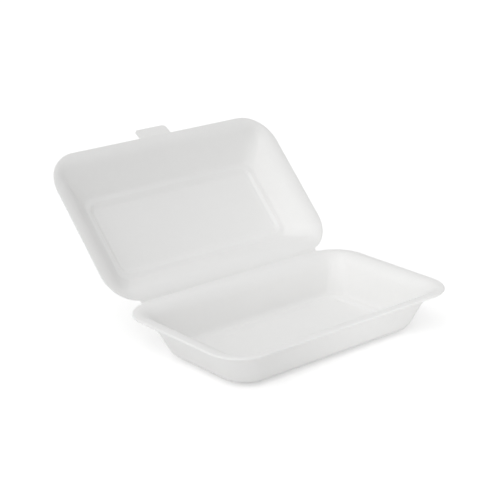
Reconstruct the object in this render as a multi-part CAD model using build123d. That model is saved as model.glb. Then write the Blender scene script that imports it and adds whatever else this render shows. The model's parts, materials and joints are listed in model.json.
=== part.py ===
from build123d import *
from dataclasses import dataclass
from math import atan2, cos, pi, tan
import os

# Driving dimensions in millimetres: X along the box, -Y its front, +Y its hinge side, +Z up.
# The origin is on the table, under the middle of the tray's rim.

# Tray: rim outline, depth and foam.
tray_length = 242.0
tray_width = 141.0
tray_corner = 29.0
tray_depth = 36.0
tray_foam = 3.4
tray_edge = 2.2
tray_flange = 13.5

# Tray walls and floor: each wall's run inwards, corners inside and out, and the ledge round the panel.
tray_run_end = 14.0
tray_run_front = 9.5
tray_run_hinge = 12.0
tray_wall_corner = 16.5
tray_outer_corner = 24.4
tray_panel_corner = 9.0
tray_ledge_end = 6.0
tray_ledge_front = 6.5
tray_ledge_hinge = 7.0
tray_step = 2.2

# Lid: its rim lies inside the tray's, and it is shallower and of thinner foam.
lid_inset_end = 1.5
lid_inset_side = 1.0
lid_corner = 30.0
lid_depth = 20.5
lid_foam = 1.2
lid_edge = 1.4
lid_flange = 10.0
lid_run_end = 17.5
lid_run_front = 26.5
lid_run_hinge = 15.5
lid_wall_corner = 22.0
lid_panel_corner = 8.0
lid_ledge_end = 5.0
lid_ledge_front = 6.0
lid_ledge_hinge = 6.0
lid_step = 2.2

# Slope between ledge and panel, in both halves.
step_run = 1.6

# Rounded and bevelled changes of direction, in both halves.
mouth_round = 9.0
wall_foot_round = 6.0
heel_round = 9.0
neck_round = 3.0
rim_bevel = 0.5

# Pressed hinge: a thin strip between the rims with a crease down its middle.
hinge_strip = 2.9
hinge_strip_thickness = 1.0
hinge_end_inset = 25.0
hinge_end_round = 1.2
crease_gap = 0.4
closing_gap = 0.4
lid_opening_deg = 134.0

# Locking tab on the lid's free edge, and the slit in the tray's front wall that takes it.
tab_width = 33.0
tab_reach = 9.5
tab_corner = 3.5
tab_thickness = 1.2
tab_root = 0.7
tab_offset = -3.0
tab_lift_deg = 15.0
slit_clearance = 2.5
slit_height = 2.2
slit_drop = 1.0

# Length by which a cutting solid passes the wall that it cuts.
overrun = 5.0

# Distance within which a face counts as lying at a height.
level_reach = 0.01

# Share of a face that a rounding at its edge may take.
rounding_share = 0.9


@dataclass
class Outline:
    """A rectangle seen from above: half its length, and its front and hinge-side edges."""
    end: float
    front: float
    back: float

    def grown(self, end, front, back):
        """The outline with each side moved outwards."""
        return Outline(self.end + end, self.front - front, self.back + back)

    def offset(self, distance):
        """The outline moved outwards by one distance all round."""
        return self.grown(distance, distance, distance)


@dataclass
class Half:
    """The sizes of one half of the box, with its rim's upper face at height zero."""
    length: float
    width: float
    corner: float
    depth: float
    foam: float
    edge: float
    flange: float
    runs: tuple
    wall_corner: float
    outer_corner: float
    panel_corner: float
    ledges: tuple
    step: float


lid_length = tray_length - 2 * lid_inset_end
lid_width = tray_width - 2 * lid_inset_side
tray_sizes = Half(tray_length, tray_width, tray_corner, tray_depth, tray_foam, tray_edge, tray_flange,
                  (tray_run_end, tray_run_front, tray_run_hinge), tray_wall_corner, tray_outer_corner,
                  tray_panel_corner, (tray_ledge_end, tray_ledge_front, tray_ledge_hinge), tray_step)
lid_sizes = Half(lid_length, lid_width, lid_corner, lid_depth, lid_foam, lid_edge, lid_flange,
                 (lid_run_end, lid_run_front, lid_run_hinge), lid_wall_corner, lid_wall_corner + lid_foam,
                 lid_panel_corner, (lid_ledge_end, lid_ledge_front, lid_ledge_hinge), lid_step)


def frustum(top, bottom, height, depth, corner):
    """A block whose flat walls slope from one outline down to another, with rounded corners."""
    block = Wedge(2 * top.end, depth, top.back - top.front,
                  top.end - bottom.end, bottom.front - top.front,
                  top.end + bottom.end, bottom.back - top.front, align=(Align.MIN, Align.MIN, Align.MIN))
    block = Pos(-top.end, top.front, height) * Rot(-90, 0, 0) * block
    slanted = block.edges().group_by(Axis.Z)[1]
    return fillet(slanted, corner)


def level_face(solid, height):
    """The solid's level face at a height."""
    level = solid.faces().filter_by(Plane.XY)
    return level.filter_by_position(Axis.Z, height - level_reach, height + level_reach)[0]


def limited(radius, room, slopes):
    """A rounding between a wall and a level face, no larger than the level face has room for."""
    widest_turn = pi / 2 - min(slopes)
    return min(radius, rounding_share * room / tan(widest_turn / 2))


def half_shell(half):
    """One half of the box: flange, flared walls, ledge and sunk panel, with its hinge side at +Y."""
    rim = Outline(half.length / 2, -half.width / 2, half.width / 2)
    ledge_depth = half.depth - half.foam - half.step
    heel_depth = ledge_depth + half.foam

    # Inner surface: mouth, foot of the walls, and the panel's upper and lower outlines.
    mouth = rim.offset(-half.flange)
    floor = mouth.grown(*[-run for run in half.runs])
    panel_top = floor.grown(*[-ledge for ledge in half.ledges])
    panel = panel_top.offset(-step_run)

    # Outer surface: the inner one moved out by the foam's thickness, square to each wall.
    slopes = [atan2(run, ledge_depth) for run in half.runs]
    neck = mouth.grown(*[half.foam / cos(slope) - half.edge * tan(slope) for slope in slopes])
    heel = floor.grown(*[half.foam * tan(pi / 4 - slope / 2) for slope in slopes])
    sole = panel.offset(half.foam * tan(pi / 4 - atan2(step_run, half.step) / 2))
    sole_top = sole.offset(step_run)

    # Rim: a flat plate with bevelled edges.
    plate = extrude(RectangleRounded(half.length, half.width, half.corner), -half.edge)
    levels = plate.edges().group_by(Axis.Z)
    plate = chamfer(levels[0] + levels[-1], rim_bevel)

    # Solid block of the outer form, rounded at the heel and under the rim.
    walls = frustum(neck, heel, -half.edge, heel_depth - half.edge, half.outer_corner)
    ledge_room = min(heel.end - sole_top.end, sole_top.front - heel.front, heel.back - sole_top.back)
    walls = fillet(level_face(walls, -heel_depth).edges(), limited(heel_round, ledge_room, slopes))
    foot = frustum(sole_top, sole, -heel_depth, half.depth - heel_depth, half.panel_corner + half.foam)
    block = plate + walls + foot
    block = fillet(level_face(block, -half.edge).inner_wires()[0].edges(), neck_round)

    # Hollow of the inner form, cut out of the block and rounded over at the mouth.
    hollow = frustum(mouth, floor, 0, ledge_depth, half.wall_corner)
    foot_round = limited(wall_foot_round, min(half.ledges), slopes)
    hollow = fillet(level_face(hollow, -ledge_depth).edges(), foot_round)
    shell = block - hollow - frustum(panel_top, panel, -ledge_depth, half.step, half.panel_corner)
    mouth_room = half.flange - rim_bevel
    return fillet(level_face(shell, 0).inner_wires()[0].edges(), limited(mouth_round, mouth_room, slopes))


def hinge_leaf(half):
    """One leaf of the pressed hinge, from under the rim's hinge edge to the crease."""
    rim_back = half.width / 2
    outer = rim_back + hinge_strip / 2 - crease_gap / 2
    inner = rim_back - half.flange / 2
    length = tray_length - 2 * hinge_end_inset
    strip = Pos(0, (inner + outer) / 2) * Rectangle(length, outer - inner)
    strip = fillet(strip.vertices().group_by(Axis.Y)[-1], hinge_end_round)
    return extrude(strip, -hinge_strip_thickness)


def locking_tab(half):
    """The lid's tab: a flat tongue on the free edge, lifted a little at its root."""
    reach = tab_reach + tab_root
    tongue = Pos(0, tab_root - reach / 2) * Rectangle(tab_width, reach)
    tongue = fillet(tongue.vertices().group_by(Axis.Y)[0], tab_corner)
    plate = Pos(0, 0, -tab_thickness / 2) * extrude(tongue, tab_thickness)
    return Pos(tab_offset, -half.width / 2, -half.edge / 2) * Rot(tab_lift_deg, 0, 0) * plate


def tab_slit(half):
    """The cut through the front wall, just under the flange, that the tab is pushed into."""
    length = tab_width + slit_clearance
    depth = half.flange + mouth_round + overrun
    middle = Pos(tab_offset, (depth - half.width) / 2, -half.edge - slit_drop - slit_height / 2)
    return middle * Box(length, depth, slit_height)


# Tray, standing on its sole.
tray = half_shell(tray_sizes) + hinge_leaf(tray_sizes) - tab_slit(tray_sizes)
tray = Pos(0, 0, tray_depth) * tray

# Lid, laid out flat behind the tray and then raised about the hinge to its opening.
hinge_y = tray_width / 2 + hinge_strip / 2
hinge_z = tray_depth + closing_gap / 2
lid = half_shell(lid_sizes) + hinge_leaf(lid_sizes) + locking_tab(lid_sizes)
lid = mirror(lid, about=Plane.XZ)
lid = Pos(0, hinge_y + hinge_strip / 2 + lid_width / 2, tray_depth) * lid
hinge_axis = Axis((0, hinge_y, hinge_z), (1, 0, 0))
lid = lid.rotate(hinge_axis, 180 - lid_opening_deg)

os.makedirs("parts", exist_ok=True)
for name, solid in {"tray": tray, "lid": lid}.items():
    export_step(solid, f"parts/{name}.step")
    print(name, round(solid.volume), [round(side, 2) for side in solid.bounding_box().size])
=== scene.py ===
import json
from collections import namedtuple
from math import atan2, cos, pi, radians, sin, sqrt, tan

import bpy
from bpy.props import FloatProperty, FloatVectorProperty, IntProperty, PointerProperty
from mathutils import Matrix, Vector


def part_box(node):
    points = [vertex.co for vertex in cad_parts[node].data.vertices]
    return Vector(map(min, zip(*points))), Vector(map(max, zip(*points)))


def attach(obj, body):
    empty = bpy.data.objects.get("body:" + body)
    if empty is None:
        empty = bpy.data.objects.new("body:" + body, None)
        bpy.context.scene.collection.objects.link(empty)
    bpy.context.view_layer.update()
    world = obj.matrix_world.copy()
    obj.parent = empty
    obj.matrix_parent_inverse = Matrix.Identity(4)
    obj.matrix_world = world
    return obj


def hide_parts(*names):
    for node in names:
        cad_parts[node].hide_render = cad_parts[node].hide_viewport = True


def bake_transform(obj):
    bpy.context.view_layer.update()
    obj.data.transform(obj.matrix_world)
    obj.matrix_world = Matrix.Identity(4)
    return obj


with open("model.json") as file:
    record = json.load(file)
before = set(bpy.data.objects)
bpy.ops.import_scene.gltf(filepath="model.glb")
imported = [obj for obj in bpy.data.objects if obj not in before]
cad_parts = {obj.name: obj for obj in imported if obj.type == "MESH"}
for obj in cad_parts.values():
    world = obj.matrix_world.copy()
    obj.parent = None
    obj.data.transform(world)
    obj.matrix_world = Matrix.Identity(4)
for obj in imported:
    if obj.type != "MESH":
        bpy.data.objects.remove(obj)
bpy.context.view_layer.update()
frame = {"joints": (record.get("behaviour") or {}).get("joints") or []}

bl_info = {
    "name": "Foam Clamshell Container",
    "version": (1, 0, 0),
    "blender": (4, 5, 0),
    "location": "View3D > Sidebar > Foam Box",
    "description": "Builds a hinged foam food box on its packed solids, with a plain studio round it",
    "category": "Object",
}

# What the imported solids say, in metres: each half's box and the hinge.
TRAY_LOW, TRAY_HIGH = (Vector(corner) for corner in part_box("tray"))
LID_LOW, LID_HIGH = (Vector(corner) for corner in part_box("lid"))
LID_HINGE = frame["joints"][0]
HINGE_PLACE = Vector(LID_HINGE["pos_m"])

# How far the lid is turned up at rest from lying flat: half a turn less the turn that shuts it.
HALF_TURN_DEG = 180
LID_RISE = radians(HALF_TURN_DEG + LID_HINGE["range_deg"][0])

# How the two shells are divided: faces round each rounding, and along the run that leads to it.
STEP_ARC, FOOT_ARC, MOUTH_ARC, RIM_ARC, NECK_ARC, HEEL_ARC, SOLE_ARC = 4, 9, 14, 5, 10, 12, 3
PANEL_RUN, LEDGE_RUN, WALL_RUN, FLANGE_RUN, SOLE_RUN, SHORT_RUN = 12, 2, 7, 4, 6, 1
TAB_LAYERS = 3

# How freely a shell wanders: fully on the panel, less by the rim, and not where it shuts or stands.
LOOSE, HEEL_LOOSE, MOUTH_LOOSE, FIRM = 1.0, 0.6, 0.3, 0.0

# A rounded rectangle has four corners, a quarter of a turn each.
CORNERS = 4
QUARTER_TURN = pi / 2

# Points nearer than this are one point, and edges that bend more than this stay sharp.
MERGE_DISTANCE = 1e-6
SHARP_BEND = radians(40)

# A noise lies round this value, and is finer with more detail.
NOISE_MIDDLE = 0.5
SWAY_DETAIL, SPOT_DETAIL, CLOUD_DETAIL = 1.0, 3.0, 2.0

# Where a Mix node takes and gives its colours.
MIX_FIRST, MIX_SECOND, MIX_RESULT = 6, 7, 2

WHITE = (1.0, 1.0, 1.0, 1.0)
SENSOR_WIDTH_MM = 36.0


def distance(name, description, default):
    """A length that the sidebar shows in the scene's units."""
    return FloatProperty(name=name, description=description, default=default, min=0.0,
                         precision=5, unit="LENGTH", subtype="DISTANCE")


def shift(name, description, default):
    """A length to either side."""
    return FloatProperty(name=name, description=description, default=default,
                         precision=5, unit="LENGTH", subtype="DISTANCE")


def share(name, description, default):
    """A number from zero to one."""
    return FloatProperty(name=name, description=description, default=default,
                         min=0.0, max=1.0, subtype="FACTOR")


def number(name, description, default):
    """A plain number."""
    return FloatProperty(name=name, description=description, default=default, min=0.0)


def angle(name, description, degrees):
    """An angle, written here in degrees."""
    return FloatProperty(name=name, description=description, default=radians(degrees), subtype="ANGLE")


def colour(name, description, default):
    """A colour in linear light."""
    return FloatVectorProperty(name=name, description=description, default=default,
                               min=0.0, max=1.0, size=4, subtype="COLOR")


def point(name, description, default):
    """A point in the scene."""
    return FloatVectorProperty(name=name, description=description, default=default,
                               unit="LENGTH", subtype="XYZ")


def count(name, description, default):
    """A whole number."""
    return IntProperty(name=name, description=description, default=default, min=1)


class TraySizes(bpy.types.PropertyGroup):
    """The lower half: a flared tray with a broad rim."""
    length: distance("Length", "Rim along the hinge", TRAY_HIGH.x - TRAY_LOW.x)
    width: distance("Width", "Rim from front to hinge side", -2 * TRAY_LOW.y)
    depth: distance("Depth", "From the rim's upper face to the sole", TRAY_HIGH.z)
    rim_corner: distance("Rim corner", "Radius of the rim's corners", 0.029)
    foam: distance("Foam", "Thickness of walls and floor", 0.0034)
    edge: distance("Edge", "Thickness of the rim", 0.0022)
    flange: distance("Flange", "Width of the rim up to the mouth", 0.0135)
    run_end: distance("End run", "How far an end wall slopes inwards", 0.014)
    run_free: distance("Front run", "How far the front wall slopes inwards", 0.0095)
    run_hinge: distance("Hinge run", "How far the hinge-side wall slopes inwards", 0.012)
    ledge_end: distance("End ledge", "Ledge between an end wall and the panel", 0.0055)
    ledge_free: distance("Front ledge", "Ledge between the front wall and the panel", 0.0048)
    ledge_hinge: distance("Hinge ledge", "Ledge between the hinge-side wall and the panel", 0.0053)
    wall_corner: distance("Wall corner", "Radius of the walls' corners seen from above", 0.013)
    outer_corner: distance("Outer corner", "Radius of the walls' corners outside", 0.021)
    panel_corner: distance("Panel corner", "Radius of the panel's corners seen from above", 0.005)
    mouth_round: distance("Mouth round", "Rounding from the rim into the inner walls", 0.014)
    neck_round: distance("Neck round", "Rounding under the rim", 0.009)
    heel_round: distance("Heel round", "Rounding between the outer walls and the underside", 0.0079)


class LidSizes(bpy.types.PropertyGroup):
    """The upper half: shallower, and of thinner foam."""
    length: distance("Length", "Rim along the hinge", LID_HIGH.x - LID_LOW.x)
    width: distance("Width", "Rim from free edge to hinge side", 0.139)
    depth: distance("Depth", "From the rim's inner face to the top", 0.0205)
    rim_corner: distance("Rim corner", "Radius of the rim's corners", 0.030)
    foam: distance("Foam", "Thickness of walls and panel", 0.0012)
    edge: distance("Edge", "Thickness of the rim", 0.0014)
    flange: distance("Flange", "Width of the rim up to the mouth", 0.010)
    run_end: distance("End run", "How far an end wall slopes inwards", 0.0175)
    run_free: distance("Free-edge run", "How far the wall by the free edge slopes inwards", 0.0265)
    run_hinge: distance("Hinge run", "How far the hinge-side wall slopes inwards", 0.0155)
    ledge_end: distance("End ledge", "Ledge between an end wall and the panel", 0.0045)
    ledge_free: distance("Free-edge ledge", "Ledge between the wall by the free edge and the panel", 0.0043)
    ledge_hinge: distance("Hinge ledge", "Ledge between the hinge-side wall and the panel", 0.0043)
    wall_corner: distance("Wall corner", "Radius of the walls' corners seen from above", 0.010)
    outer_corner: distance("Outer corner", "Radius of the walls' corners outside", 0.0108)
    panel_corner: distance("Panel corner", "Radius of the panel's corners seen from above", 0.0045)
    mouth_round: distance("Mouth round", "Rounding from the rim into the inner walls", 0.018)
    neck_round: distance("Neck round", "Rounding under the rim", 0.016)
    heel_round: distance("Heel round", "Rounding between the outer walls and the top", 0.009)


class MouldSizes(bpy.types.PropertyGroup):
    """What the mould gives both halves, and how finely their meshes are divided."""
    step: distance("Step", "Depth of the panel below its ledge", 0.0022)
    step_run: distance("Step run", "How far the step slopes inwards along the sides", 0.005)
    step_run_end: distance("End step run", "How far the step slopes inwards at the ends", 0.0026)
    step_round: distance("Step round", "Rounding at the step's two edges", 0.0036)
    foot_round: distance("Foot round", "Rounding from the inner walls into the ledge", 0.0045)
    sole_round: distance("Sole round", "Rounding at the two edges of the underside's step", 0.001)
    rim_share: share("Rim share", "Rounding of the trimmed edge, as a share of the rim's thickness", 0.42)
    sway: distance("Sway", "How far the walls and panels wander from true", 0.0003)
    sway_size: distance("Sway size", "Size of one wander", 0.045)
    tray_seed: count("Tray seed", "Which wander the tray gets", 3)
    lid_seed: count("Lid seed", "Which wander the lid gets", 11)
    corner_steps: count("Corner steps", "Faces round a corner", 18)
    side_steps: count("Side steps", "Faces along a side", 26)


class TabSizes(bpy.types.PropertyGroup):
    """The locking tab on the lid's free edge, and the slit in the tray that takes it."""
    width: distance("Width", "Tab along the free edge", 0.033)
    reach: distance("Reach", "Tab out from the free edge", 0.0095)
    root: distance("Root", "Tab inside the rim", 0.0007)
    corner: distance("Corner", "Radius of the tab's corners", 0.0035)
    thickness: distance("Thickness", "Thickness of the tab", 0.0012)
    offset: shift("Offset", "Place of the tab along the free edge, from the middle", -0.003)
    lift: angle("Lift", "How far the tab is bent back from the rim", 15)
    slit_clearance: distance("Slit clearance", "How much longer the slit is than the tab is wide", 0.0025)
    slit_height: distance("Slit height", "Height of the slit", 0.0022)
    slit_drop: distance("Slit drop", "Distance of the slit below the rim", 0.001)
    steps: count("Steps", "Points across the tab", 24)


class HingeSizes(bpy.types.PropertyGroup):
    """The pressed strip between the two rims."""
    strip: distance("Strip", "Width of the strip from rim to rim", 0.0029)
    thickness: distance("Thickness", "Thickness of the strip", 0.001)
    end_inset: distance("End inset", "From the tray's ends to the strip's ends", 0.025)
    root: distance("Root", "How far the strip reaches into each rim", 0.0012)
    crease: distance("Crease", "Depth of the groove pressed along the strip", 0.0003)
    strip_steps: count("Strip steps", "Faces across the strip", 16)
    length_steps: count("Length steps", "Faces along the strip", 40)


class FoamLook(bpy.types.PropertyGroup):
    """The foam's finish."""
    skin: colour("Skin", "Colour of the foam's skin", (0.954, 0.952, 0.942, 1.0))
    hollow: colour("Hollow", "Colour between the beads", (0.917, 0.915, 0.907, 1.0))
    cell: distance("Cell", "Size of the foam's cells", 0.0009)
    cell_relief: distance("Cell relief", "Height of the cells", 0.00004)
    cell_softness: share("Cell softness", "How far the cells run into each other", 0.6)
    mottle: distance("Mottle", "Size of the denser and lighter spots", 0.006)
    mottle_relief: distance("Mottle relief", "Height of the spots", 0.00006)
    cloud: distance("Cloud", "Size of the broad clouds of denser foam", 0.048)
    cell_share: share("Cell share", "How much the cells colour the foam", 0.45)
    spot_share: share("Spot share", "How much the spots colour the foam", 0.35)
    cloud_share: share("Cloud share", "How much the clouds colour the foam", 0.35)
    roughness: share("Roughness", "Roughness of the skin", 0.46)
    roughness_range: share("Roughness range", "How far the roughness varies", 0.12)
    sheen: share("Sheen", "Strength of the skin's reflection", 0.35)
    refraction: number("Refraction", "Refractive index of the skin", 1.45)
    glow: share("Glow", "How much light passes into the foam and out again", 0.15)
    glow_reach: distance("Glow reach", "How far light travels in the foam", 0.002)


class StudioLook(bpy.types.PropertyGroup):
    """The plain studio and the camera."""
    floor_size: distance("Floor", "Side of the floor", 12.0)
    floor: colour("Floor colour", "Colour of the floor", (0.9, 0.9, 0.9, 1.0))
    floor_lift: share("Floor lift", "Light that the floor adds for the camera, so that it looks white", 0.38)
    sky_top: number("Sky top", "Strength of the soft light from above", 0.862)
    sky_left: number("Sky left", "Strength of the soft light from the left", 0.940)
    sky_front: number("Sky front", "Strength of the soft light from the front", 0.112)
    lamp: FloatProperty(name="Lamp", description="Power of the small low lamp in front", default=0.05,
                        min=0.0, unit="POWER", subtype="POWER")
    lamp_size: distance("Lamp size", "Diameter of the lamp", 0.2)
    lamp_beam: angle("Lamp beam", "Angle over which the lamp shines", 40)
    lamp_place: point("Lamp place", "Where the lamp stands", (-0.08, -0.55, 0.05))
    lamp_aim: point("Lamp aim", "Point that the lamp is turned to", (0.07, -0.06, -0.04))
    camera_azimuth: angle("Camera azimuth", "Where the camera stands, round the box", -41.69)
    camera_elevation: angle("Camera elevation", "Height of the camera above the horizon", 19.203)
    camera_roll: angle("Camera roll", "Turn of the camera about its line of sight", 0.258)
    camera_distance: distance("Camera distance", "From the camera to the point that it looks at", 1.19644)
    camera_lens: FloatProperty(name="Lens", description="Focal length of the camera", default=105.545,
                               min=1.0, unit="CAMERA", subtype="DISTANCE_CAMERA")
    camera_aim: point("Camera aim", "Point that the camera looks at", (0.00006, 0.05092, 0.06353))


class FoamBox(bpy.types.PropertyGroup):
    """Everything that a user would change."""
    tray: PointerProperty(type=TraySizes)
    lid: PointerProperty(type=LidSizes)
    mould: PointerProperty(type=MouldSizes)
    tab: PointerProperty(type=TabSizes)
    hinge: PointerProperty(type=HingeSizes)
    foam: PointerProperty(type=FoamLook)
    studio: PointerProperty(type=StudioLook)


class Wire:
    """A node's output: sums on it add Math nodes to the tree, and node() adds any other node."""

    def __init__(self, tree, socket=None):
        self.tree, self.socket = tree, socket

    def node(self, kind, settings=(), sockets=(), output=0):
        """Adds a node with its settings, then its sockets' values or links, and gives one of its outputs."""
        made = self.tree.nodes.new(kind)
        for name, value in dict(settings).items():
            setattr(made, name, value)
        for name, value in dict(sockets).items():
            for item in value if isinstance(value, list) else [value]:
                if isinstance(item, Wire):
                    self.tree.links.new(item.socket, made.inputs[name])
                else:
                    made.inputs[name].default_value = item
        return Wire(self.tree, made.outputs[output] if len(made.outputs) else None)

    def other(self, output):
        """Another output of the same node."""
        return Wire(self.tree, self.socket.node.outputs[output])

    def maths(self, operation, *values):
        """A Math node on values."""
        return self.node("ShaderNodeMath", {"operation": operation}, enumerate(values))

    def __add__(self, other):
        return self.maths("ADD", self, other)

    def __radd__(self, other):
        return self.maths("ADD", other, self)

    def __sub__(self, other):
        return self.maths("SUBTRACT", self, other)

    def __rsub__(self, other):
        return self.maths("SUBTRACT", other, self)

    def __mul__(self, other):
        return self.maths("MULTIPLY", self, other)

    def __rmul__(self, other):
        return self.maths("MULTIPLY", other, self)

    def __truediv__(self, other):
        return self.maths("DIVIDE", self, other)

    def __rtruediv__(self, other):
        return self.maths("DIVIDE", other, self)

    def __gt__(self, other):
        return self.maths("GREATER_THAN", self, other)

    def root(self):
        """The square root."""
        return self.maths("SQRT", self)

    def whole(self):
        """The whole number below."""
        return self.maths("FLOOR", self)

    def at_least(self, low):
        """The value, or the limit where it is lower."""
        return self.maths("MAXIMUM", self, low)

    def at_most(self, high):
        """The value, or the limit where it is higher."""
        return self.maths("MINIMUM", self, high)


# What the tree of each half is given, besides what is its own.
SHELL_INPUTS = {
    "Profile": "NodeSocketGeometry", "Corner steps": "NodeSocketInt", "Side steps": "NodeSocketInt",
    "Sway": "NodeSocketFloat", "Sway size": "NodeSocketFloat", "Seed": "NodeSocketFloat"}
FOAM_INPUT = {"Foam": "NodeSocketMaterial"}
SLIT_INPUTS = {"Slit place": "NodeSocketVector", "Slit size": "NodeSocketVector"}
TAB_INPUTS = {
    "Tab place": "NodeSocketVector", "Tab width": "NodeSocketFloat", "Tab reach": "NodeSocketFloat",
    "Tab root": "NodeSocketFloat", "Tab corner": "NodeSocketFloat", "Tab thickness": "NodeSocketFloat",
    "Tab lift": "NodeSocketFloat", "Tab steps": "NodeSocketInt"}


def geometry_tree(name, sockets):
    """An empty geometry tree with named inputs, and the wire of its input node."""
    tree = bpy.data.node_groups.new(name, "GeometryNodeTree")
    for label, kind in sockets.items():
        tree.interface.new_socket(label, in_out="INPUT", socket_type=kind)
    tree.interface.new_socket("Geometry", in_out="OUTPUT", socket_type="NodeSocketGeometry")
    return Wire(tree).node("NodeGroupInput")


def shell_group():
    """A node group that sweeps rings along a profile into the closed shell of one half."""
    given = geometry_tree("Foam shell", SHELL_INPUTS)
    profile = given.other("Profile")
    corner_steps, side_steps = given.other("Corner steps"), given.other("Side steps")

    # A flat grid: its columns run round the rings, and its rows along the profile.
    rings = given.node("GeometryNodeAttributeDomainSize", {"component": "MESH"}, {"Geometry": profile})
    columns = CORNERS * (corner_steps + side_steps)
    grid = given.node("GeometryNodeMeshGrid", (), {"Vertices X": columns + 1, "Vertices Y": rings})
    index = given.node("GeometryNodeInputIndex")
    column = (index / rings).whole()
    row = index - column * rings

    def sample(name, kind):
        """What the profile holds for this row."""
        held = given.node("GeometryNodeInputNamedAttribute", {"data_type": kind}, {"Name": name})
        return given.node("GeometryNodeSampleIndex", {"data_type": kind, "domain": "POINT"},
                          {"Geometry": profile, "Value": held, "Index": row})

    # Where the column lies on a rounded rectangle: on a corner's arc, then along the side after it.
    quarter = (column / (corner_steps + side_steps)).whole()
    within = column - quarter * (corner_steps + side_steps)
    arc = (within / corner_steps).at_most(1.0)
    along = (within - corner_steps).at_least(0.0) / side_steps
    turn = (quarter + arc) * QUARTER_TURN
    out_x, out_y = given.maths("COSINE", turn), given.maths("SINE", turn)
    diagonal = (quarter + 1.0 / 2) * QUARTER_TURN
    here_x, here_y = given.maths("COSINE", diagonal), given.maths("SINE", diagonal)
    corner_x = sqrt(2) * (here_x - along * (here_x + here_y))
    corner_y = sqrt(2) * (here_y + along * (here_x - here_y))

    # The ring's point: from the corner's centre outwards, at the height of its side.
    plan = given.node("ShaderNodeSeparateXYZ", (), {"Vector": sample("plan", "FLOAT_VECTOR")})
    end, low, high = plan, plan.other("Y"), plan.other("Z")
    level = given.node("ShaderNodeSeparateXYZ", (), {"Vector": sample("level", "FLOAT_VECTOR")})
    end_level, low_level, high_level = level, level.other("Y"), level.other("Z")
    radius = sample("corner", "FLOAT")
    x = corner_x * (end - radius) + out_x * radius
    y = (low + high) / 2.0 + corner_y * ((high - low) / 2.0 - radius) + out_y * radius
    side_level = low_level + (high_level - low_level) * (out_y > 0.0)
    z = end_level * out_x * out_x + side_level * out_y * out_y
    spot = given.node("ShaderNodeCombineXYZ", (), {"X": x, "Y": y, "Z": z})

    # A slight wander, which fades out towards the rim and the sole.
    noise = given.node("ShaderNodeTexNoise", {"noise_dimensions": "4D"}, {
        "Vector": spot, "W": given.other("Seed"), "Scale": 1.0 / given.other("Sway size"),
        "Detail": SWAY_DETAIL}, "Color")
    middle = given.node("ShaderNodeVectorMath", {"operation": "SUBTRACT"}, {0: noise, 1: 3 * (NOISE_MIDDLE,)})
    wander = given.node("ShaderNodeVectorMath", {"operation": "SCALE"},
                        {0: middle, "Scale": given.other("Sway") * sample("loose", "FLOAT")})
    shell = given.node("GeometryNodeSetPosition", (), {"Geometry": grid, "Position": spot, "Offset": wander})
    shell = given.node("GeometryNodeMergeByDistance", (), {"Geometry": shell, "Distance": MERGE_DISTANCE})
    given.node("NodeGroupOutput", (), {"Geometry": shell})
    return given.tree


def shell_group_once():
    """The shell's node group, made the first time that it is asked for."""
    return bpy.data.node_groups.get("Foam shell") or shell_group()


def swept_shell(given):
    """The shell group inside a piece's own tree, fed from the tree's inputs of the same names."""
    return given.node("GeometryNodeGroup", {"node_tree": shell_group_once()},
                      {name: given.other(name) for name in SHELL_INPUTS})


def finished(given, shell):
    """Ends a piece's tree: smooth but for its cut edges, real geometry, and in foam."""
    bend = given.node("GeometryNodeInputMeshEdgeAngle")
    shell = given.node("GeometryNodeSetShadeSmooth", {"domain": "FACE"}, {"Geometry": shell})
    shell = given.node("GeometryNodeSetShadeSmooth", {"domain": "EDGE"},
                       {"Geometry": shell, "Selection": bend > SHARP_BEND, "Shade Smooth": False})
    shell = given.node("GeometryNodeRealizeInstances", (), {"Geometry": shell})
    shell = given.node("GeometryNodeSetMaterial", (), {"Geometry": shell, "Material": given.other("Foam")})
    given.node("NodeGroupOutput", (), {"Geometry": shell})
    return given.tree


def tray_tree():
    """The tray: a shell with a slit cut through its front wall."""
    given = geometry_tree("Foam tray", {**SHELL_INPUTS, **FOAM_INPUT, **SLIT_INPUTS})
    shell = swept_shell(given)
    blade = given.node("GeometryNodeMeshCube", (), {"Size": given.other("Slit size")})
    blade = given.node("GeometryNodeTransform", (),
                       {"Geometry": blade, "Translation": given.other("Slit place")})
    cut = given.node("GeometryNodeMeshBoolean", {"operation": "DIFFERENCE", "solver": "EXACT"},
                     {"Mesh 1": shell, "Mesh 2": blade})
    return finished(given, cut)


def lid_tree():
    """The lid: a shell with a tab that bends back from its free edge."""
    given = geometry_tree("Foam lid", {**SHELL_INPUTS, **FOAM_INPUT, **TAB_INPUTS})
    shell = swept_shell(given)

    # A unit block, whose depth becomes the way from tip to root, with more points near the tip.
    steps, reach, corner = given.other("Tab steps"), given.other("Tab reach"), given.other("Tab corner")
    block = given.node("GeometryNodeMeshCube", (), {
        "Size": (1.0, 1.0, 1.0), "Vertices X": steps, "Vertices Y": steps, "Vertices Z": TAB_LAYERS})
    spot = given.node("ShaderNodeSeparateXYZ", (), {"Vector": given.node("GeometryNodeInputPosition")})
    across, through = spot, spot.other("Z")
    left = 1.0 / 2 - spot.other("Y")
    out = reach - left * left * (reach + given.other("Tab root"))

    # The plate is narrowed round the two corners of its tip, and tilted about its root.
    past = (out - reach + corner).at_least(0.0)
    narrowing = corner - (corner * corner - past * past).at_least(0.0).root()
    x = across * (given.other("Tab width") - 2.0 * narrowing)
    lift = given.other("Tab lift")
    over = through * given.other("Tab thickness")
    y = out * given.maths("COSINE", lift) + over * given.maths("SINE", lift)
    z = over * given.maths("COSINE", lift) - out * given.maths("SINE", lift)
    plate = given.node("GeometryNodeSetPosition", (), {
        "Geometry": block, "Position": given.node("ShaderNodeCombineXYZ", (), {"X": x, "Y": y, "Z": z}),
        "Offset": given.other("Tab place")})
    joined = given.node("GeometryNodeMeshBoolean", {"operation": "UNION", "solver": "EXACT"},
                        {"Mesh 2": [shell, plate]})
    return finished(given, joined)


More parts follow.
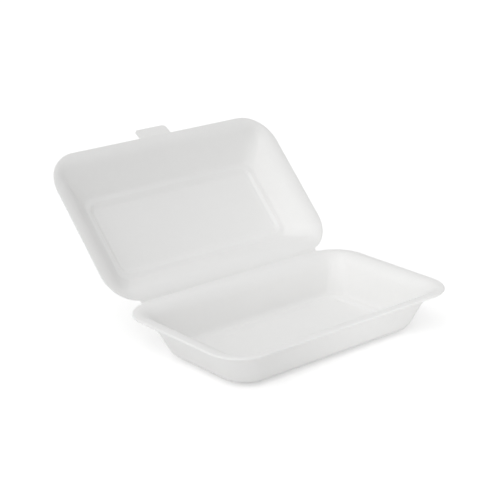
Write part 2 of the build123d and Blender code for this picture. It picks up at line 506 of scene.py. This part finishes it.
# A profile's change of direction: its point, which is (inset, height, corner radius, looseness),
# its rounding, and the faces round it and along the run that leads there.
Turn = namedtuple("Turn", "at rounding arc_steps run_steps", defaults=(0, 0, 0))


def arc_points(before, at, after, radius, steps):
    """Points of the rounding at a profile's change of direction."""
    flat_before, flat_after = (before - at).to_2d(), (after - at).to_2d()
    opening = flat_before.angle(flat_after)
    reach = radius / tan(opening / 2)
    start = at.lerp(before, reach / flat_before.length)
    finish = at.lerp(after, reach / flat_after.length)
    inwards = (flat_before.normalized() + flat_after.normalized()).normalized()
    middle = at.to_2d() + inwards * radius / sin(opening / 2)
    points = []
    for step in range(steps + 1):
        part = step / steps
        blend = start.lerp(at, part).lerp(at.lerp(finish, part), part)
        spoke = (start.to_2d() - middle).slerp(finish.to_2d() - middle, part)
        points.append(Vector((*(middle + spoke * radius), blend.z, blend.w)))
    return points


def side_profile(turns):
    """The points of one side's profile through its changes of direction."""
    points = [turns[0].at]
    for before, turn, after in zip(turns, turns[1:], turns[2:]):
        arc = arc_points(before.at, turn.at, after.at, turn.rounding, turn.arc_steps)
        start = points[-1]
        points += [start.lerp(arc[0], step / turn.run_steps) for step in range(1, turn.run_steps)] + arc
    last, start = turns[-1], points[-1]
    return points + [start.lerp(last.at, step / last.run_steps) for step in range(1, last.run_steps + 1)]


def profile_rings(half, mould):
    """The rings of one half, from the middle of its panel, round the rim, to the middle of its underside."""
    ledge_depth = half.depth - half.foam - mould.step
    heel_depth = ledge_depth + half.foam
    panel_depth = ledge_depth + mould.step
    sides = [(half.run_end, half.ledge_end, mould.step_run_end),
             (half.run_free, half.ledge_free, mould.step_run),
             (half.run_hinge, half.ledge_hinge, mould.step_run)]
    panels = [half.flange + sum(side) for side in sides]
    _, free_panel, hinge_panel = panels
    panel_half = (half.width - free_panel - hinge_panel) / 2
    sole_corner = half.panel_corner + half.foam
    rim_round = half.edge * mould.rim_share

    profiles = []
    for (run, _, step_run), panel in zip(sides, panels):
        slope = atan2(run, ledge_depth)
        middle = panel + panel_half
        foot = half.flange + run
        neck = half.flange - half.foam / cos(slope) + half.edge * tan(slope)
        heel = foot - half.foam * tan(pi / 4 - slope / 2)
        sole = panel - half.foam * tan(pi / 4 - atan2(step_run, mould.step) / 2)
        inner = [
            Turn(Vector((middle, -panel_depth, 0, LOOSE))),
            Turn(Vector((panel, -panel_depth, half.panel_corner, LOOSE)),
                 mould.step_round, STEP_ARC, PANEL_RUN),
            Turn(Vector((panel - step_run, -ledge_depth, half.panel_corner + step_run, LOOSE)),
                 mould.step_round, STEP_ARC, SHORT_RUN),
            Turn(Vector((foot, -ledge_depth, half.wall_corner, LOOSE)), mould.foot_round, FOOT_ARC, LEDGE_RUN),
            Turn(Vector((half.flange, 0, half.wall_corner, MOUTH_LOOSE)),
                 half.mouth_round, MOUTH_ARC, WALL_RUN)]
        rim = [
            Turn(Vector((0, 0, half.rim_corner, FIRM)), rim_round, RIM_ARC, FLANGE_RUN),
            Turn(Vector((0, -half.edge, half.rim_corner, FIRM)), rim_round, RIM_ARC, SHORT_RUN)]
        outer = [
            Turn(Vector((neck, -half.edge, half.outer_corner, MOUTH_LOOSE)),
                 half.neck_round, NECK_ARC, FLANGE_RUN),
            Turn(Vector((heel, -heel_depth, half.outer_corner, HEEL_LOOSE)),
                 half.heel_round, HEEL_ARC, WALL_RUN),
            Turn(Vector((sole - step_run, -heel_depth, sole_corner + step_run, FIRM)),
                 mould.sole_round, SOLE_ARC, LEDGE_RUN),
            Turn(Vector((sole, -half.depth, sole_corner, FIRM)), mould.sole_round, SOLE_ARC, SHORT_RUN),
            Turn(Vector((middle, -half.depth, 0, FIRM)), run_steps=SOLE_RUN)]
        profiles.append(side_profile(inner + rim + outer))
    return list(zip(*profiles))


def hold(mesh, name, kind, values):
    """Keeps a number or a vector for each point of a mesh."""
    held = mesh.attributes.new(name, kind, "POINT")
    for spot, value in zip(held.data, values):
        setattr(spot, "vector" if kind == "FLOAT_VECTOR" else "value", value)


def new_object(name, mesh):
    """An object at the origin, in the scene."""
    made = bpy.data.objects.new(name, mesh)
    bpy.context.collection.objects.link(made)
    return made


def profile_object(name, half, mould, hinge_high):
    """A line of points, one for each ring, which holds the ring's sizes for the shell's tree."""
    rings = [(end, free, hinge) if hinge_high else (end, hinge, free)
             for end, free, hinge in profile_rings(half, mould)]
    mesh = bpy.data.meshes.new(name)
    mesh.from_pydata([(0, 0, step) for step in range(len(rings))], [], [])
    half_length, half_width = half.length / 2, half.width / 2
    hold(mesh, "plan", "FLOAT_VECTOR",
         [(half_length - end.x, low.x - half_width, half_width - high.x) for end, low, high in rings])
    hold(mesh, "level", "FLOAT_VECTOR", [[side.y for side in ring] for ring in rings])
    hold(mesh, "corner", "FLOAT", [sum(side.z for side in ring) / len(ring) for ring in rings])
    hold(mesh, "loose", "FLOAT", [end.w for end, low, high in rings])
    return new_object(name, mesh)


def grown(made, tree, values, placed):
    """Runs a tree on an object with values for its inputs, keeps the result as a plain mesh, and places it."""
    modifier = made.modifiers.new(tree.name, "NODES")
    modifier.node_group = tree
    for socket in tree.interface.items_tree:
        if socket.in_out == "INPUT" and socket.name in values:
            modifier[socket.identifier] = values[socket.name]
    depsgraph = bpy.context.evaluated_depsgraph_get()
    mesh = bpy.data.meshes.new_from_object(made.evaluated_get(depsgraph), depsgraph=depsgraph)
    if not mesh.polygons:
        raise RuntimeError(f"{made.name} came out empty")
    made.modifiers.remove(modifier)
    made.data = mesh
    mesh.transform(placed)


def shell_values(settings, seed):
    """What the two halves' trees are given alike."""
    mould = settings.mould
    return {"Corner steps": mould.corner_steps, "Side steps": mould.side_steps, "Sway": mould.sway,
            "Sway size": mould.sway_size, "Seed": float(seed), "Foam": foam_material(settings.foam)}


def empty_material(name):
    """A new material, and the start of its nodes."""
    material = bpy.data.materials.new(name)
    material.use_nodes = True
    material.node_tree.nodes.clear()
    return material, Wire(material.node_tree)


def foam_material(look):
    """White foam, made once: a satin skin over fine cells, with faintly denser and lighter spots."""
    material = bpy.data.materials.get("Foam")
    if material:
        return material
    material, start = empty_material("Foam")
    spot = start.node("ShaderNodeTexCoord", (), (), "Object")

    # Fine cells, and spots and clouds where the foam is denser.
    cells = start.node("ShaderNodeTexVoronoi", {"feature": "SMOOTH_F1"}, {
        "Vector": spot, "Scale": 1 / look.cell, "Smoothness": look.cell_softness}, "Distance")
    spots = start.node("ShaderNodeTexNoise", (), {
        "Vector": spot, "Scale": 1 / look.mottle, "Detail": SPOT_DETAIL}, "Fac")
    clouds = start.node("ShaderNodeTexNoise", (), {
        "Vector": spot, "Scale": 1 / look.cloud, "Detail": CLOUD_DETAIL}, "Fac")
    dense = look.cell_share * cells + look.spot_share * spots + look.cloud_share * clouds
    tint = start.node("ShaderNodeMix", {"data_type": "RGBA"}, {
        "Factor": dense.at_most(1.0), MIX_FIRST: tuple(look.skin),
        MIX_SECOND: tuple(look.hollow)}, MIX_RESULT)

    # Relief of cells and spots, and a skin whose gloss changes with the spots.
    height = cells * look.cell_relief + spots * look.mottle_relief
    relief = start.node("ShaderNodeBump", (), {"Height": height, "Distance": 1.0, "Strength": 1.0}, "Normal")
    rough = look.roughness + (spots - NOISE_MIDDLE) * look.roughness_range
    skin = start.node("ShaderNodeBsdfPrincipled", (), {
        "Base Color": tint, "Roughness": rough, "Normal": relief, "IOR": look.refraction,
        "Specular IOR Level": look.sheen, "Subsurface Weight": look.glow,
        "Subsurface Radius": (1.0, 1.0, 1.0), "Subsurface Scale": look.glow_reach})
    start.node("ShaderNodeOutputMaterial", (), {"Surface": skin})
    return material


def seen_rays(start):
    """One where the camera looks, itself or in a reflection, and zero for light that falls on the box."""
    path = start.node("ShaderNodeLightPath", (), (), "Is Camera Ray")
    return (path + path.other("Is Glossy Ray") + path.other("Is Transmission Ray")).at_most(1.0)


def floor_material(look):
    """A pale floor that takes the box's shadow, lifted to white where the camera looks at it."""
    material, start = empty_material("Studio floor")
    matt = start.node("ShaderNodeBsdfDiffuse", (), {"Color": tuple(look.floor)})
    lift = start.node("ShaderNodeEmission", (), {"Color": WHITE, "Strength": look.floor_lift})
    lifted = start.node("ShaderNodeAddShader", (), {0: matt, 1: lift})
    surface = start.node("ShaderNodeMixShader", (), {0: seen_rays(start), 1: matt, 2: lifted})
    start.node("ShaderNodeOutputMaterial", (), {"Surface": surface})
    return material


def floor_object(look):
    """A flat square floor under the sole."""
    side = look.floor_size / 2
    mesh = bpy.data.meshes.new("studio_floor")
    corners = [(-side, -side, 0), (side, -side, 0), (side, side, 0), (-side, side, 0)]
    mesh.from_pydata(corners, [], [range(len(corners))])
    mesh.materials.append(floor_material(look))
    return new_object("studio_floor", mesh)


def studio_world(look):
    """Soft light from above, the left and the front, and a plain white where the camera sees it."""
    world = bpy.data.worlds.new("Studio")
    world.use_nodes = True
    world.node_tree.nodes.clear()
    start = Wire(world.node_tree)
    direction = start.node("ShaderNodeTexCoord", (), (), "Object")
    right = start.node("ShaderNodeSeparateXYZ", (), {"Vector": direction})
    back, up = right.other("Y"), right.other("Z")
    soft = (up.at_least(0.0) * look.sky_top + (0.0 - right).at_least(0.0) * look.sky_left
            + (0.0 - back).at_least(0.0) * look.sky_front)
    light = start.node("ShaderNodeBackground", (), {"Color": soft})
    white = start.node("ShaderNodeBackground", (), {"Color": WHITE})
    sky = start.node("ShaderNodeMixShader", (), {0: seen_rays(start), 1: light, 2: white})
    start.node("ShaderNodeOutputWorld", (), {"Surface": sky})
    return world


def lamp_object(look):
    """One small low lamp in front."""
    light = bpy.data.lights.new("studio_lamp", "AREA")
    light.shape, light.size, light.energy, light.spread = "DISK", look.lamp_size, look.lamp, look.lamp_beam
    lamp = new_object("studio_lamp", light)
    lamp.location = look.lamp_place
    lamp.rotation_euler = (lamp.location - Vector(look.lamp_aim)).to_track_quat("Z", "Y").to_euler()


def camera_object(look):
    """The camera at the photograph's angle."""
    camera = new_object("studio_camera", bpy.data.cameras.new("studio_camera"))
    camera.data.lens, camera.data.sensor_width = look.camera_lens, SENSOR_WIDTH_MM
    azimuth, elevation = look.camera_azimuth, look.camera_elevation
    back = Vector((sin(azimuth) * cos(elevation), -cos(azimuth) * cos(elevation), sin(elevation)))
    right = Vector((cos(azimuth), sin(azimuth), 0))
    upright = Matrix((right, back.cross(right), back)).transposed()
    turned = upright @ Matrix.Rotation(look.camera_roll, 3, "Z")
    stand = Vector(look.camera_aim) + back * look.camera_distance
    camera.matrix_world = Matrix.Translation(stand) @ turned.to_4x4()
    return camera


def lid_place(settings):
    """Takes the lid from its own middle to the hinge, open as far as it stands at rest."""
    flat = Vector((0, (settings.hinge.strip + settings.lid.width) / 2, settings.tray.depth - HINGE_PLACE.z))
    rise = Matrix.Rotation(LID_RISE, 4, "X")
    return Matrix.Translation(HINGE_PLACE) @ rise @ Matrix.Translation(flat)


def bent(spot, half_strip):
    """A point of the strip laid flat, turned about the hinge by its share of the lid's rise."""
    part = min(max((spot.y + half_strip) / (2 * half_strip), 0.0), 1.0)
    smooth_part = part * part * (3 - 2 * part)
    return HINGE_PLACE + Matrix.Rotation(LID_RISE * smooth_part, 3, "X") @ spot


def strip_outline(strip, top):
    """The strip's section laid flat, as (across, height): its upper side, then its lower side back again."""
    half_strip = strip.strip / 2
    reach = half_strip + strip.root
    upper, lower = [], []
    for step in range(strip.strip_steps + 1):
        y = reach * (2 * step / strip.strip_steps - 1)
        groove = strip.crease * max(0.0, 1 - abs(y) / half_strip) ** 2
        upper.append((y, top - groove))
        lower.append((y, top - strip.thickness + groove))
    return upper + lower[::-1]


def strip_object(name, strip, tray):
    """A thin strip with a groove along its middle, rooted in both rims."""
    outline = strip_outline(strip, tray.depth - HINGE_PLACE.z)
    half_length = tray.length / 2 - strip.end_inset
    around, along = len(outline), strip.length_steps
    points, faces = [], []
    for step in range(along + 1):
        x = half_length * (2 * step / along - 1)
        points += [bent(Vector((x, y, z)), strip.strip / 2) for y, z in outline]
    for step in range(along):
        for spot in range(around):
            here, there = step * around + spot, step * around + (spot + 1) % around
            faces.append((here, here + around, there + around, there))
    faces.append(tuple(range(around)))
    faces.append(tuple(reversed(range(along * around, (along + 1) * around))))
    mesh = bpy.data.meshes.new(name)
    mesh.from_pydata(points, [], faces)
    mesh.set_sharp_from_angle(angle=SHARP_BEND)
    return new_object(name, mesh)


class FOAMBOX_OT_tray(bpy.types.Operator):
    """Builds the tray and lets it stand for the tray's solid"""
    bl_idname = "foam_box.tray"
    bl_label = "Tray"

    def execute(self, context):
        settings = context.scene.foam_box
        half, tab = settings.tray, settings.tab
        made = profile_object("tray_foam", half, settings.mould, hinge_high=True)
        reach = half.flange + half.mouth_round + half.neck_round
        slit_level = -half.edge - tab.slit_drop - tab.slit_height / 2
        values = shell_values(settings, settings.mould.tray_seed)
        values["Slit size"] = (tab.width + tab.slit_clearance, reach, tab.slit_height)
        values["Slit place"] = (tab.offset, (reach - half.width) / 2, slit_level)
        grown(made, tray_tree(), values, Matrix.Translation((0, 0, half.depth)))
        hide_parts("tray")
        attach(made, "tray")
        return {"FINISHED"}


class FOAMBOX_OT_lid(bpy.types.Operator):
    """Builds the open lid with its tab and lets it stand for the lid's solid"""
    bl_idname = "foam_box.lid"
    bl_label = "Lid"

    def execute(self, context):
        settings = context.scene.foam_box
        half, tab = settings.lid, settings.tab
        made = profile_object("lid_foam", half, settings.mould, hinge_high=False)
        values = shell_values(settings, settings.mould.lid_seed)
        values.update({
            "Tab place": (tab.offset, half.width / 2, -half.edge / 2), "Tab width": tab.width,
            "Tab reach": tab.reach, "Tab root": tab.root, "Tab corner": tab.corner,
            "Tab thickness": tab.thickness, "Tab lift": tab.lift, "Tab steps": tab.steps})
        grown(made, lid_tree(), values, lid_place(settings))
        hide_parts("lid")
        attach(made, "lid")
        return {"FINISHED"}


class FOAMBOX_OT_hinge(bpy.types.Operator):
    """Builds the pressed strip that bends between the two rims"""
    bl_idname = "foam_box.hinge"
    bl_label = "Hinge"

    def execute(self, context):
        settings = context.scene.foam_box
        strip = settings.hinge
        made = strip_object("hinge_strip", strip, settings.tray)
        made.data.materials.append(foam_material(settings.foam))
        half_strip = strip.strip / 2
        start = bent(Vector((0, -half_strip, 0)), half_strip)
        finish = bent(Vector((0, half_strip, 0)), half_strip)
        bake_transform(made)
        return {"FINISHED"}


class FOAMBOX_OT_studio(bpy.types.Operator):
    """Builds the floor, the light and the camera"""
    bl_idname = "foam_box.studio"
    bl_label = "Studio"

    def execute(self, context):
        scene = context.scene
        look = scene.foam_box.studio
        scene.view_settings.view_transform = "Standard"
        floor = floor_object(look)
        scene.world = studio_world(look)
        lamp_object(look)
        scene.camera = camera_object(look)
        return {"FINISHED"}


class FOAMBOX_PT_sidebar(bpy.types.Panel):
    """Lists the pieces and their sizes in the sidebar"""
    bl_idname = "FOAMBOX_PT_sidebar"
    bl_label = "Foam Box"
    bl_space_type = "VIEW_3D"
    bl_region_type = "UI"
    bl_category = "Foam Box"

    def draw(self, context):
        settings = context.scene.foam_box
        for operator in OPERATORS:
            self.layout.operator(operator.bl_idname)
        for part in FoamBox.__annotations__:
            box = self.layout.box()
            group = getattr(settings, part)
            for name in group.__annotations__:
                box.prop(group, name)


OPERATORS = (FOAMBOX_OT_tray, FOAMBOX_OT_lid, FOAMBOX_OT_hinge, FOAMBOX_OT_studio)
CLASSES = (TraySizes, LidSizes, MouldSizes, TabSizes, HingeSizes, FoamLook, StudioLook,
           FoamBox, *OPERATORS, FOAMBOX_PT_sidebar)


def register():
    for item in CLASSES:
        bpy.utils.register_class(item)
    bpy.types.Scene.foam_box = PointerProperty(type=FoamBox)


def unregister():
    del bpy.types.Scene.foam_box
    for item in reversed(CLASSES):
        bpy.utils.unregister_class(item)


def main():
    """Builds the box and its studio."""
    register()
    bpy.ops.foam_box.tray()
    bpy.ops.foam_box.lid()
    bpy.ops.foam_box.hinge()
    bpy.ops.foam_box.studio()


if __name__ == "__main__":
    main()
